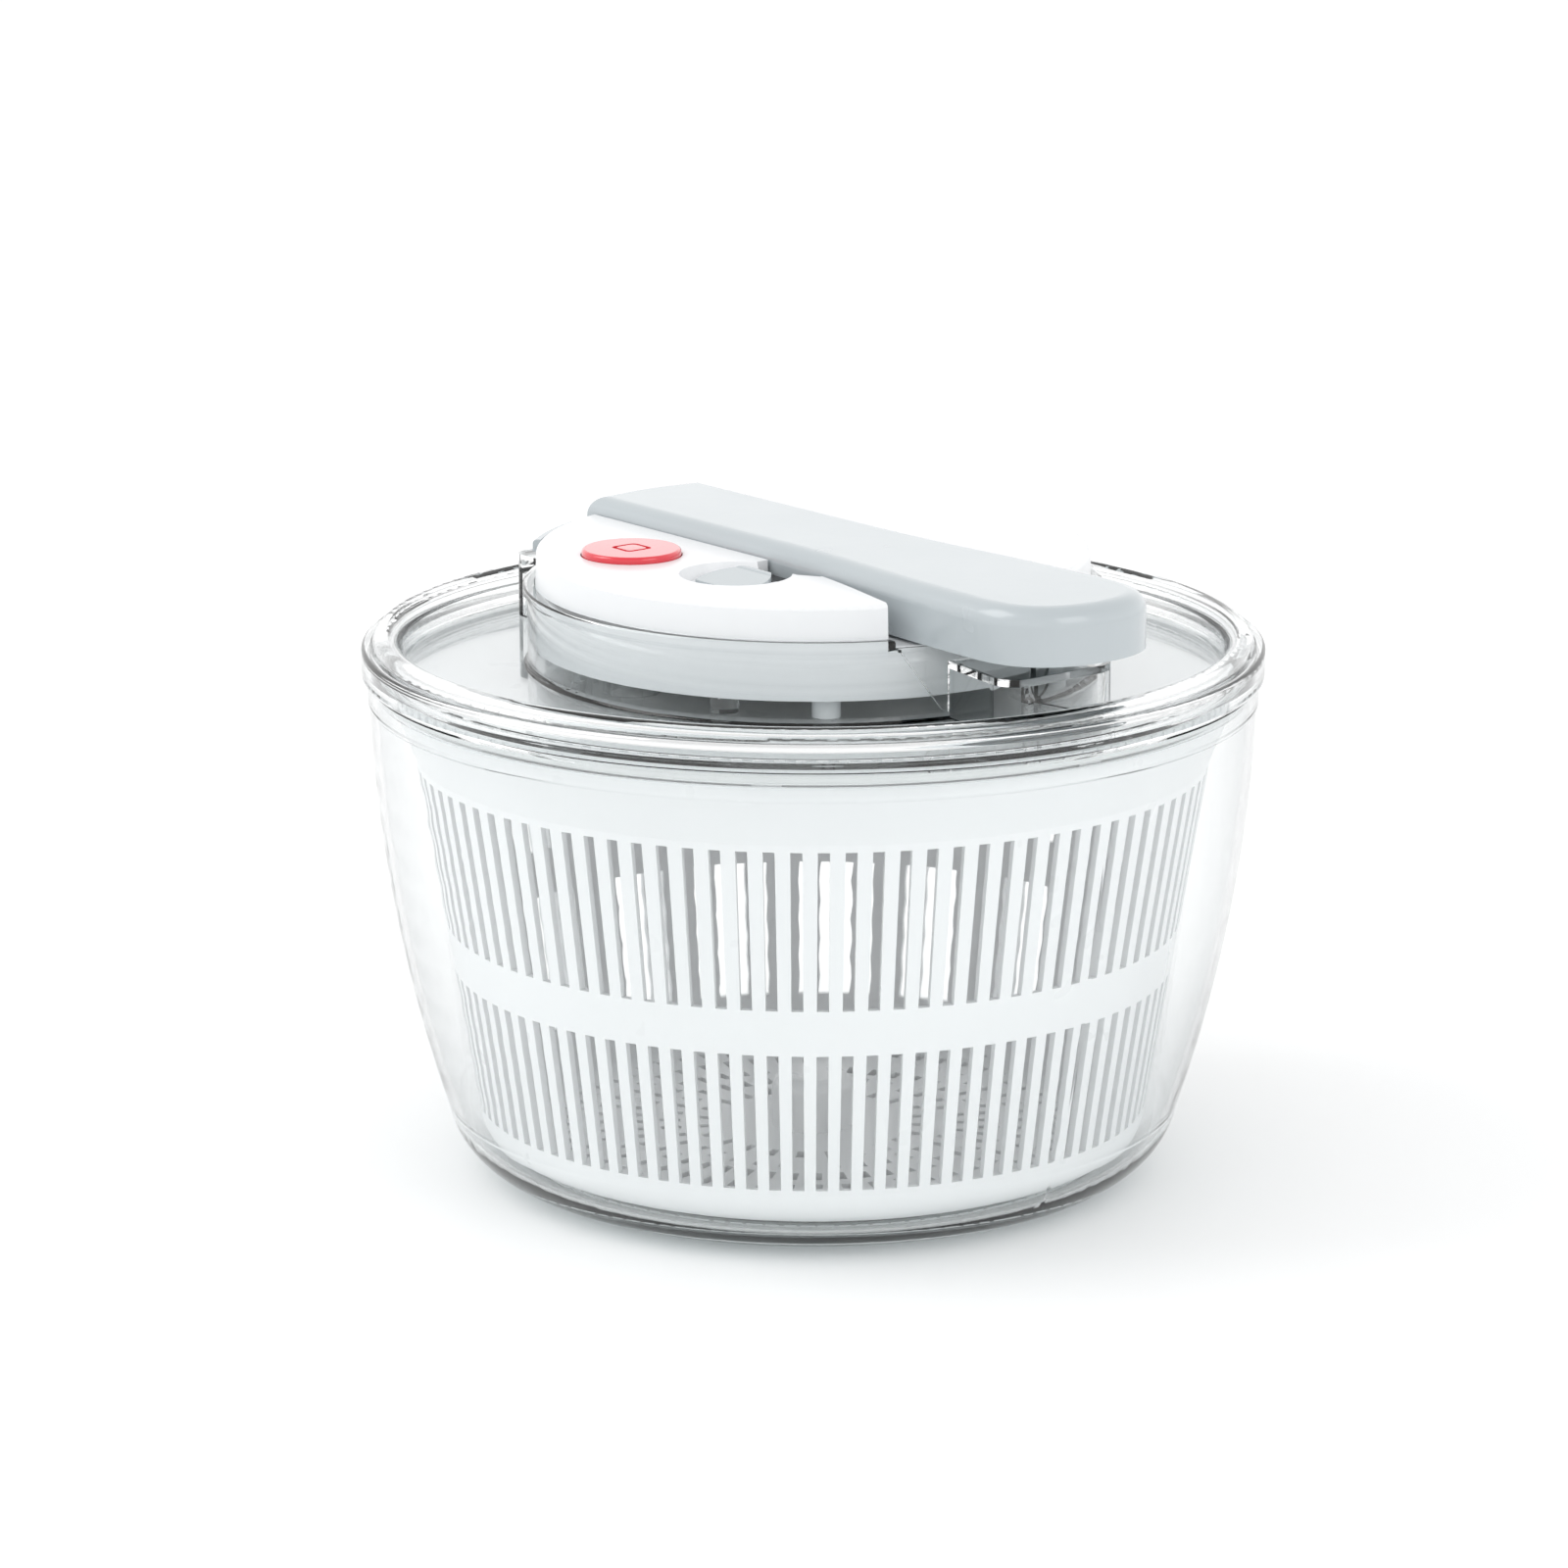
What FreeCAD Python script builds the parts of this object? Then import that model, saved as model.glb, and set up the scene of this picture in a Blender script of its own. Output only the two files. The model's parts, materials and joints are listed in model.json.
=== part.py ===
import FreeCAD, Part
import math
import os

# Lever-driven salad spinner: clear bowl, slotted basket, clear lid with a raised drive housing.
# Millimetres, +Z up. The origin is the centre of the foot, on the table.
# +X runs along the lever towards its grip; the lever's hinge is on the -X side.

V = FreeCAD.Vector
UP = V(0, 0, 1)
ACROSS = V(0, 1, 0)
CENTRE = V(0, 0, 0)

# ---- driving dimensions ------------------------------------------------------------------
# fits and gaps
run_gap = 0.05            # radial play of a shaft in its bearing
slide_gap = 0.3           # play beside a part that slides
body_gap = 0.4            # play between bodies that only pass each other

# bowl
foot_radius = 85.7
foot_width = 4.7
foot_height = 3.0
bowl_wall = 2.5
heel_radius = 107.0
heel_height = 20.0
bowl_mid_radius = 119.0
bowl_mid_height = 65.0
bowl_mouth_radius = 127.9
bowl_top = 146.8
band_height = 7.8
band_step = 0.5
ring_height = 1.4         # non-slip ring, let into the foot
pivot_radius = 2.0
pivot_rise = 12.0         # above the basket's underside
boss_radius = 5.0
boss_height = 1.9

# basket
basket_wall = 2.0
basket_lift_gap = 0.6     # over the bowl's boss
basket_floor = 2.0
basket_floor_step = 14.0
basket_heel_gap = 6.5     # inside the bowl's wall
basket_heel_height = 19.4
basket_neck_step = 5.3
basket_neck_drop = 17.5
basket_rim_gap = 4.6      # inside the lid's skirt
basket_rim_drop = 4.0
slot_count = 96
slot_width = 3.3
low_slots = (21.0, 61.7)
high_slots_start = 75.1
high_slots_drop = 2.0     # below the neck
floor_slot_width = 2.6
floor_slot_rows = ((29.0, 24), (39.0, 36), (49.0, 48), (59.0, 48), (69.0, 60))  # radius, count
floor_slot_length = 6.0
hub_radius = 12.0
hub_rise = 5.0
cup_radius = 4.5
lug_count = 8
lug_width = 8.0
lug_depth = 1.4

# lid
lid_seat_gap = 0.2
lid_overhang = 2.1
lid_band_height = 8.5
bead_step = 3.1
bead_height = 12.0
bead_top_step = 7.2
bead_width = 12.8
lid_wall = 2.5
deck_rise = 2.3
skirt_gap = 0.8
skirt_depth = 4.4
seal_height = 2.4
turret_radius = 82.2
turret_wall = 2.0
collar_step = 1.3
collar_height = 2.6
opening_inset = 2.0
opening_foot_half = 15.5
nose_setback = 6.6        # from the nose's end to the bead
nose_root_half = 17.0
nose_half_width = 21.6
nose_drop = 7.3
nose_corner = 8.0
block_reach = 20.8
block_side = 10.5
block_drop = 4.8
block_corner = 5.0

# mechanism cover
cover_rise = 9.9
cover_inset = 2.7
cover_edge = 1.6
cover_wall = 2.5
cover_skirt_lift = 6.5
channel_gap = 0.7
channel_drop = 2.3
channel_floor_wall = 2.0
channel_floor_setback = 22.0
channel_mouth_half = 35.0
recess_x = 16.0
recess_offset = 19.5      # from the lever's side
recess_radius = 16.0
recess_floor_radius = 14.5
recess_depth = 3.5
recess_floor_wall = 1.5

# lever
hinge_setback = 20.2      # inside the turret
hinge_pin_radius = 2.0
hinge_rise = 1.2          # above the turret's top
lever_overlap = 1.4       # below the turret's top
lever_rise = 4.6          # above the cover
lever_half_width = 21.5
lever_flare_start = 0.0
grip_flare = 4.7
grip_length = 24.0
grip_setback = 3.0        # inside the lid's edge
lever_edge = 5.4
lever_wall = 2.4
lever_ear_radius = 5.0
lever_travel = 28.0
lip_gap = 0.4
lip_width = 2.4
lip_drop = 1.1
lip_height = 3.6
lip_edge = 1.2
lip_half_angle = 41.6

# gear train
gear_module = 1.0
pressure_angle = 25.0
tooth_top = 0.8           # addendum, in modules
tooth_root = 1.1          # dedendum, in modules
tooth_thinning = 0.3      # taken off each tooth at the pitch line
sector_teeth = 34
pinion_teeth = 12
wheel_teeth = 56
drive_teeth = 12
sector_width = 8.0
rack_half_width = 6.0
rack_gap = 0.5            # over the wheel
rack_height = 3.5         # to its pitch line
wheel_gap = 0.7           # over the deck
wheel_height = 3.0
pinion_rise = 1.4         # above the rack's pitch line
axle_radius = 2.0
plate_gap = 1.6
plate_height = 2.0
plate_inset = 8.2
rail_wall = 2.2

# centre drive
disc_gap = 0.6            # under the deck
disc_rim_height = 1.8
disc_height = 2.0
disc_inset = 0.4
disc_rim_width = 2.2
disc_tooth_count = 144
disc_tooth_width = 2.4
disc_tooth_depth = 0.7
disc_skirt_width = 1.8
disc_skirt_depth = 4.0
basket_disc_gap = 0.9
spindle_radius = 2.5
spindle_rise = 3.0        # above the gear plate
cup_outer_radius = 15.25
cup_ring_width = 2.2
cup_lift = 0.5            # over the disc
cup_depth = 2.9
cup_plate = 1.7
ratchet_teeth = 12
ratchet_depth = 1.4
pawl_count = 3
pawl_height = 2.2
bush_radius = 18.5
bush_flange_radius = 20.5
bush_flange_height = 1.2
clip_radius = 5.0
clip_height = 0.8

# brake and latch
brake_x = -23.0
brake_offset = 26.5       # from the lever's side
button_radius = 14.3
button_rise = 2.0
button_edge = 1.2
button_flange_step = 1.7
button_flange_height = 2.2
mark_size = 9.0           # plain rounded-square stop mark, drawn as a frame
mark_line = 1.2
mark_depth = 0.4
brake_travel = 3.0
brake_rest_gap = 0.5      # left between the pad and the disc with the button down
plunger_radius = 3.0
pad_radius = 6.0
pad_height = 2.0
brake_guide_wall = 2.0
brake_guide_height = 6.7
latch_travel = 4.5
latch_knob_radius = 11.2
latch_knob_shift = 1.5
latch_knob_tail = 6.5
notch_depth = 4.7
guide_height = 0.8
latch_hook_lift = 3.6
latch_hook_height = 2.2
latch_hook_half = 6.0
latch_hook_gap = 3.1      # from the lever's side, unlatched

# screws and springs
screw_radius = 1.5
screw_head_radius = 2.9
screw_head_height = 1.5
post_radius = 4.0
plate_post_inset = 14.2
cover_post_inset = 12.7
spring_wire = 0.45

# ---- derived places ----------------------------------------------------------------------
bowl_floor_top = foot_height + bowl_wall
boss_top = bowl_floor_top + boss_height
band_bottom = bowl_top - band_height
band_radius = bowl_mouth_radius + band_step
lid_bottom = bowl_top + lid_seat_gap
lid_radius = bowl_mouth_radius + lid_overhang
lid_band_top = lid_bottom + lid_band_height
bead_radius = lid_radius - bead_step
bead_top = lid_bottom + bead_height
bead_top_radius = lid_radius - bead_top_step
bead_foot_radius = lid_radius - bead_width
deck_top = lid_bottom + deck_rise
deck_bottom = deck_top - lid_wall
skirt_radius = bowl_mouth_radius - bowl_wall - skirt_gap
skirt_bottom = lid_bottom - skirt_depth
disc_rim_top = deck_bottom - disc_gap
disc_top = disc_rim_top - disc_rim_height
disc_bottom = disc_top - disc_height
disc_skirt_bottom = disc_bottom - disc_skirt_depth
basket_bottom = boss_top + basket_lift_gap
pivot_top = basket_bottom + pivot_rise
hub_top = pivot_top + hub_rise
basket_heel_radius = heel_radius - bowl_wall - basket_heel_gap
basket_floor_radius = basket_heel_radius - basket_floor_step
basket_rim_radius = skirt_radius - basket_rim_gap
basket_neck_radius = basket_rim_radius - basket_neck_step
basket_top = disc_bottom - basket_disc_gap
basket_rim_height = basket_top - basket_rim_drop
basket_neck_height = basket_top - basket_neck_drop
slot_bands = (low_slots, (high_slots_start, basket_neck_height - high_slots_drop))
disc_radius = basket_rim_radius - disc_inset
sector_radius = gear_module * sector_teeth / 2
pinion_radius = gear_module * pinion_teeth / 2
wheel_radius = gear_module * wheel_teeth / 2
drive_radius = gear_module * drive_teeth / 2
wheel_bottom = deck_top + wheel_gap
rack_bottom = wheel_bottom + wheel_height + rack_gap
rack_pitch_z = rack_bottom + rack_height
pinion_top = rack_pitch_z + pinion_rise
plate_bottom = pinion_top + plate_gap
plate_top = plate_bottom + plate_height
plate_radius = turret_radius - plate_inset
hinge_x = hinge_setback - turret_radius
hinge_z = rack_pitch_z + sector_radius
rack_travel = math.radians(lever_travel) * sector_radius
axle_y = rack_half_width + pinion_radius
axle_x = -math.sqrt((wheel_radius + drive_radius) ** 2 - axle_y ** 2)
mesh_angle = math.degrees(math.atan2(-axle_y, -axle_x))
rack_front = axle_x + 2.2 * math.pi * gear_module
rack_back = hinge_x - rack_travel - 1.5 * math.pi * gear_module
turret_top = hinge_z - hinge_rise
turret_inner = turret_radius - turret_wall
collar_radius = turret_radius + collar_step
opening_top_half = channel_mouth_half - opening_inset
nose_end = bead_foot_radius - nose_setback
nose_top = turret_top - nose_drop
block_end = turret_radius + block_reach
block_half_width = lever_half_width + block_side
block_top = turret_top - block_drop
cover_top = turret_top + cover_rise
cover_radius = turret_radius - cover_inset
cover_underside = cover_top - cover_wall
cover_skirt_radius = turret_inner - body_gap
cover_skirt_bottom = deck_top + cover_skirt_lift
channel_floor = turret_top - channel_drop
channel_floor_start = hinge_x + channel_floor_setback
recess_y = -lever_half_width - recess_offset
recess_floor = cover_top - recess_depth
lever_bottom = turret_top - lever_overlap
lever_top = cover_top + lever_rise
grip_half_width = lever_half_width + grip_flare
grip_end = lid_radius - grip_setback
grip_x = grip_end - grip_length
lip_inner_radius = cover_radius + lip_gap
lip_outer_radius = lip_inner_radius + lip_width
lip_top = cover_top - lip_drop
lip_bottom = lip_top - lip_height
spindle_top = plate_top + spindle_rise
cup_bottom = disc_top + cup_lift
cup_floor = cup_bottom + cup_depth
cup_top = cup_floor + cup_plate
brake_y = -lever_half_width - brake_offset
button_top = cover_top + button_rise
button_flange_radius = button_radius + button_flange_step
pad_bottom = disc_top + brake_travel + brake_rest_gap
brake_guide_top = deck_top + brake_guide_height
pad_hole_radius = pad_radius + slide_gap
guide_radius = pad_hole_radius + brake_guide_wall
notch_floor = cover_top - notch_depth
latch_knob_y = recess_y - latch_knob_shift
latch_knob_front = latch_knob_y + latch_knob_radius
latch_knob_back = recess_y - latch_knob_tail
latch_hook_bottom = lever_bottom + latch_hook_lift
latch_hook_tip = -lever_half_width - latch_hook_gap
plate_posts = [(turret_radius - plate_post_inset, angle) for angle in (60, 120, 240, 300)]
cover_posts = [(turret_radius - cover_post_inset, angle) for angle in (36, 144, 216, 324)]


# ---- helpers -----------------------------------------------------------------------------
def disc(radius, z0, z1, x=0.0, y=0.0):
    return Part.makeCylinder(radius, z1 - z0, V(x, y, z0), UP)


def tube(outer, inner, z0, z1, x=0.0, y=0.0):
    return disc(outer, z0, z1, x, y).cut(disc(inner, z0, z1, x, y))


def cone(r0, r1, z0, z1, x=0.0, y=0.0):
    return Part.makeCone(r0, r1, z1 - z0, V(x, y, z0), UP)


def block(x0, x1, y0, y1, z0, z1):
    return Part.makeBox(x1 - x0, y1 - y0, z1 - z0, V(x0, y0, z0))


def rod_y(radius, y0, y1, x, z):
    return Part.makeCylinder(radius, y1 - y0, V(x, y0, z), ACROSS)


def outline(start, steps, place):
    """A closed face: a step is an end point, or (middle, end) for an arc."""
    edges = []
    here = place(*start)
    for step in list(steps) + [start]:
        if isinstance(step[0], tuple):
            middle, end = place(*step[0]), place(*step[1])
            edges.append(Part.Arc(here, middle, end).toShape())
        else:
            end = place(*step)
            if end.distanceToPoint(here) < 1e-6:
                continue
            edges.append(Part.LineSegment(here, end).toShape())
        here = end
    return Part.Face(Part.Wire(edges))


def revolve(start, steps):
    face = outline(start, steps, lambda r, z: V(r, 0, z))
    return face.revolve(CENTRE, UP, 360)


def prism(start, steps, z0, z1):
    face = outline(start, steps, lambda x, y: V(x, y, z0))
    return face.extrude(V(0, 0, z1 - z0))


def fuse(first, *others):
    return first.multiFuse(list(others)).removeSplitter()


def turned(shape, angle, centre=CENTRE, axis=UP):
    copy = shape.copy()
    copy.rotate(centre, axis, angle)
    return copy


def ring_of(shape, count):
    return [turned(shape, 360.0 * i / count) for i in range(count)]


def on_circle(radius, angle):
    a = math.radians(angle)
    return radius * math.cos(a), radius * math.sin(a)


def round_upright(shape, corner, end):
    """Round the upright edges at X = end."""
    edges = [e for e in shape.Edges
             if abs(e.BoundBox.XLength) < 1e-6 and abs(e.BoundBox.YLength) < 1e-6
             and abs(e.BoundBox.XMin - end) < 1e-6]
    return shape.makeFillet(corner, edges)


def edges_at(shape, z):
    return [e for e in shape.Edges
            if abs(e.BoundBox.ZMin - z) < 1e-6 and abs(e.BoundBox.ZMax - z) < 1e-6]


def tail_sector(ring, half_angle):
    """The part of a ring that lies within half_angle of the -X side."""
    box = ring.BoundBox
    reach = 2 * box.XMax
    tip = on_circle(reach / math.cos(math.radians(half_angle)), 180)
    wedge = prism((0, 0), [on_circle(reach, 180 - half_angle), tip, on_circle(reach, 180 + half_angle)],
                  box.ZMin, box.ZMax)
    return ring.common(wedge)


def coil(radius, wire_radius, turns, height, base, direction=UP):
    """A helical spring with its axis on direction, starting at base."""
    helix = Part.makeHelix(height / turns, height, radius)
    section = Part.Wire(Part.Circle(V(radius, 0, 0), V(0, 1, 0), wire_radius).toShape())
    spring = Part.Wire(helix.Edges).makePipeShell([section], True, True)
    spring.Placement = FreeCAD.Placement(base, FreeCAD.Rotation(UP, direction))
    return spring


def involute(angle):
    return math.tan(angle) - angle


def half_tooth(teeth, radius):
    """Half the angle that a tooth takes at this radius."""
    pitch = gear_module * teeth / 2
    base = pitch * math.cos(math.radians(pressure_angle))
    at_pitch = math.pi / (2 * teeth) - tooth_thinning / (2 * pitch)
    flank = math.acos(min(1.0, base / max(radius, base)))
    return at_pitch + involute(math.radians(pressure_angle)) - involute(flank)


def gear(teeth, phase, z0, z1):
    """A spur gear with a tooth centred on the angle phase, in degrees."""
    pitch = gear_module * teeth / 2
    root = pitch - tooth_root * gear_module
    tip = pitch + tooth_top * gear_module
    radii = [root + (tip - root) * i / 4 for i in range(5)]
    points = []
    for i in range(teeth):
        middle = math.radians(phase) + 2 * math.pi * i / teeth
        flank = [(r, half_tooth(teeth, r)) for r in radii]
        for r, half in flank:
            points.append(V(r * math.cos(middle - half), r * math.sin(middle - half), z0))
        for r, half in reversed(flank):
            points.append(V(r * math.cos(middle + half), r * math.sin(middle + half), z0))
    face = Part.Face(Part.makePolygon(points + points[:1]))
    return face.extrude(V(0, 0, z1 - z0))


def rack_tooth():
    """One rack tooth as (along, height) points, height from the pitch line."""
    slope = math.tan(math.radians(pressure_angle))
    low, high = -tooth_root * gear_module, tooth_top * gear_module
    half = (math.pi * gear_module - 2 * tooth_thinning) / 4
    return [(-half + low * slope, low), (half - low * slope, low),
            (half - high * slope, high), (-half + high * slope, high)]


def lever_prism(inset, tail_radius, z0, z1):
    """The lever drawn inwards by inset: round tail, straight arm, blunt flared grip, round top edge."""
    side = lever_half_width - inset
    grip = grip_half_width - inset
    tail = V(-math.sqrt(tail_radius ** 2 - side ** 2), side, 0)
    bend = V(lever_flare_start, side, 0)
    grip_start = V(grip_x, grip, 0)
    tip = V(grip_end - inset, 0, 0)
    reach = V(0.45 * (grip_x - lever_flare_start), 0, 0)
    flare = Part.BezierCurve()
    flare.setPoles([bend, bend + reach, grip_start - reach, grip_start])
    corner = Part.BezierCurve()
    corner.setPoles([grip_start, grip_start + V(0.66 * (tip.x - grip_x), 0, 0),
                     tip + V(0, 0.62 * grip, 0), tip])
    arm = [Part.LineSegment(tail, bend).toShape(), flare.toShape(), corner.toShape()]
    edges = arm + [edge.mirror(CENTRE, ACROSS) for edge in arm]
    edges.append(Part.Arc(tail, V(-tail_radius, 0, 0), V(tail.x, -side, 0)).toShape())
    body = plan_prism(edges, z0, z1)
    return body.makeFillet(lever_edge - inset, edges_at(body, z1))


def plan_prism(edges, z0, z1):
    face = Part.Face(Part.Wire(Part.__sortEdges__(edges)))
    face.translate(V(0, 0, z0))
    return face.extrude(V(0, 0, z1 - z0))


def channel_prism(outset, z0, z1):
    """The lever's channel: it follows the lever, then flares to the cover's edge."""
    side = lever_half_width + channel_gap + outset
    far = channel_mouth_half + outset
    end_x = cover_radius + 5
    tail = V(-end_x, side, 0)
    bend = V(lever_flare_start, side, 0)
    mouth = V(end_x, far, 0)
    curve = Part.BezierCurve()
    curve.setPoles([bend, V(0.45 * end_x, side, 0), V(0.6 * end_x, side + 0.45 * (far - side), 0),
                    mouth])
    arm = [Part.LineSegment(tail, bend).toShape(), curve.toShape()]
    edges = arm + [edge.mirror(CENTRE, ACROSS) for edge in arm]
    edges.append(Part.LineSegment(mouth, V(mouth.x, -far, 0)).toShape())
    edges.append(Part.LineSegment(tail, V(tail.x, -side, 0)).toShape())
    return plan_prism(edges, z0, z1)


def lip_sweep():
    """What the lever's lip passes through as the grip goes up."""
    gap = 2 * body_gap
    room = block(hinge_x - 2 * collar_radius, hinge_x - 1, -collar_radius, collar_radius,
                 lip_bottom - gap, lever_top + 40)
    room = turned(room, lever_travel, V(hinge_x, 0, hinge_z), V(0, -1, 0))
    return room.common(disc(lip_outer_radius + 3, deck_top, lever_top + 60))


# ---- bowl --------------------------------------------------------------------------------
def bowl():
    inner_foot = foot_radius - foot_width
    inner_heel = heel_radius - bowl_wall
    inner_mid = bowl_mid_radius - bowl_wall
    inner_mouth = bowl_mouth_radius - bowl_wall
    heel_mid = (foot_radius + 0.7 * (heel_radius - foot_radius), 0.375 * heel_height)
    inner_mid_heel = (heel_mid[0] - 0.6 * bowl_wall, heel_mid[1] + bowl_wall)
    shell = revolve((0, foot_height), [
        (inner_foot, foot_height), (inner_foot, 0), (foot_radius, 0), (foot_radius + 0.8, 0.8),
        (heel_mid, (heel_radius, heel_height)),
        ((bowl_mid_radius, bowl_mid_height), (bowl_mouth_radius, band_bottom)),
        (band_radius, band_bottom + 0.6), (band_radius, bowl_top - 0.8),
        (band_radius - 0.8, bowl_top), (inner_mouth, bowl_top), (inner_mouth, band_bottom),
        ((inner_mid, bowl_mid_height), (inner_heel, heel_height + 0.6)),
        (inner_mid_heel, (foot_radius, bowl_floor_top)), (0, bowl_floor_top)])
    boss = cone(boss_radius + 4, boss_radius, foot_height, boss_top)
    groove = tube(foot_radius - 1.2, inner_foot + 1.2, 0, ring_height)
    shell = fuse(shell, boss)
    return shell.cut(groove).cut(disc(pivot_radius, foot_height + 1, boss_top + 1))


def non_slip_ring():
    return tube(foot_radius - 1.2, foot_radius - foot_width + 1.2, 0, ring_height)


def basket_pivot_pin():
    pin = disc(pivot_radius, foot_height + 1, pivot_top)
    return pin.makeFillet(0.6, [e for e in pin.Edges if abs(e.BoundBox.ZMin - pivot_top) < 1e-6])


# ---- basket ------------------------------------------------------------------------------
def basket_bearing_cup():
    cup = disc(cup_radius, boss_top + slide_gap, pivot_top + 2)
    return cup.cut(disc(pivot_radius + run_gap, boss_top, pivot_top + slide_gap))


def rim_lugs(width, depth, z0, z1):
    """Lugs on the drive disc's skirt, or, made wider and deeper, their notches in the basket."""
    skirt = disc_skirt_radius()
    lug = block(skirt - 1.0, skirt + depth, -width / 2, width / 2, z0, z1)
    return ring_of(lug, lug_count)


def disc_skirt_radius():
    """Outer radius of the disc's skirt, which stands inside the basket's mouth."""
    return basket_rim_radius - basket_wall - 2 * body_gap


def basket():
    floor_top = basket_bottom + basket_floor
    heel = (0.5 * (basket_floor_radius + basket_heel_radius) + 4, basket_bottom + 3.6)
    inner_heel = (heel[0] - 0.75 * basket_wall, heel[1] + 0.75 * basket_wall)
    shell = revolve((0, basket_bottom), [
        (basket_floor_radius, basket_bottom), (heel, (basket_heel_radius, basket_heel_height)),
        (basket_neck_radius, basket_neck_height), (basket_rim_radius, basket_rim_height),
        (basket_rim_radius, basket_top), (basket_rim_radius - basket_wall, basket_top),
        (basket_rim_radius - basket_wall, basket_rim_height),
        (basket_neck_radius - basket_wall, basket_neck_height),
        (basket_heel_radius - basket_wall, basket_heel_height + 0.4),
        (inner_heel, (basket_floor_radius - 1.0, floor_top)), (0, floor_top)])
    hub = disc(hub_radius, basket_bottom, hub_top)
    hub = hub.makeFillet(4.0, [e for e in hub.Edges if abs(e.BoundBox.ZMin - hub_top) < 1e-6])
    shell = fuse(shell, hub)
    shell = shell.cut(disc(cup_radius + run_gap, basket_bottom - 1, pivot_top + 2 + slide_gap))
    cutters = []
    for low, high in slot_bands:
        slot = block(basket_heel_radius - 16, basket_rim_radius + 2, -slot_width / 2, slot_width / 2,
                     low, high)
        cutters += ring_of(slot, slot_count)
    for radius, count in floor_slot_rows:
        slot = block(radius, radius + floor_slot_length, -floor_slot_width / 2, floor_slot_width / 2,
                     basket_bottom - 1, floor_top + 1)
        cutters += ring_of(slot, count)
    cutters += rim_lugs(lug_width + 2 * body_gap, lug_depth + body_gap,
                        disc_skirt_bottom - body_gap, basket_top + 1)
    return shell.cut(Part.makeCompound(cutters))


# ---- lid ---------------------------------------------------------------------------------
def lid_rim():
    """Deck, outer band, hollow bead on top of it, and the skirt that centres the lid in the bowl."""
    foot = bead_foot_radius
    core_top = bead_top - lid_wall
    return revolve((0, deck_bottom), [
        (foot + 2.3, deck_bottom), (foot + 3.8, core_top - 3),
        ((bead_top_radius, core_top - 0.1), (bead_radius - lid_wall, core_top - 3)),
        (lid_radius - lid_wall, lid_band_top - lid_wall), (lid_radius - lid_wall, lid_bottom + 3.2),
        (skirt_radius - 2, lid_bottom + 3), (skirt_radius - 2, skirt_bottom),
        (skirt_radius, skirt_bottom), (skirt_radius, lid_bottom), (lid_radius - 0.6, lid_bottom),
        (lid_radius, lid_bottom + 0.6), (lid_radius, lid_band_top - 1.2),
        ((lid_radius - 0.35, lid_band_top - 0.35), (lid_radius - 1.2, lid_band_top)),
        (bead_radius, lid_band_top),
        ((bead_radius - 1, bead_top - 1), (bead_top_radius, bead_top)),
        ((foot + 2.9, bead_top - 1.4), (foot + 1.3, bead_top - 4.6)), (foot, deck_top), (0, deck_top)])


def turret():
    """Upright clear wall round the mechanism, with a collar at its top and a flared foot."""
    radius = turret_radius
    collar_bottom = turret_top - collar_height
    return revolve((turret_inner, deck_top), [
        (radius + 1.1, deck_top), ((radius + 0.35, deck_top + 0.75), (radius, deck_top + 2)),
        (radius, collar_bottom - 1), (collar_radius, collar_bottom + 0.4),
        (collar_radius, turret_top - 0.5), (collar_radius - 0.5, turret_top), (turret_inner, turret_top)])


def nose_prism(inset, x0, z0, z1):
    """Box under the grip, a little wider at its end than where it leaves the turret."""
    root = nose_root_half - inset
    half = nose_half_width - inset
    end = nose_end - inset
    start = root + (half - root) * (x0 - turret_radius) / (end - turret_radius)
    shape = prism((x0, -start), [(end, -half), (end, half), (x0, start)], z0, z1)
    return round_upright(shape, nose_corner - inset, end)


def turret_opening():
    """Under the grip the turret's wall runs down to the nose in a slanting curve on each side."""
    wide = opening_top_half
    narrow = opening_foot_half
    low, high = deck_top + 1.5, turret_top
    face = outline((-wide, high + 5), [
        (-wide, high), (-narrow - 4.2, low + 2.4), ((-narrow - 2.4, low + 0.7), (-narrow, low)),
        (narrow, low), ((narrow + 2.4, low + 0.7), (narrow + 4.2, low + 2.4)),
        (wide, high), (wide, high + 5)],
        lambda y, z: V(turret_radius / 2, y, z))
    return face.extrude(V(turret_radius, 0, 0))


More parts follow.
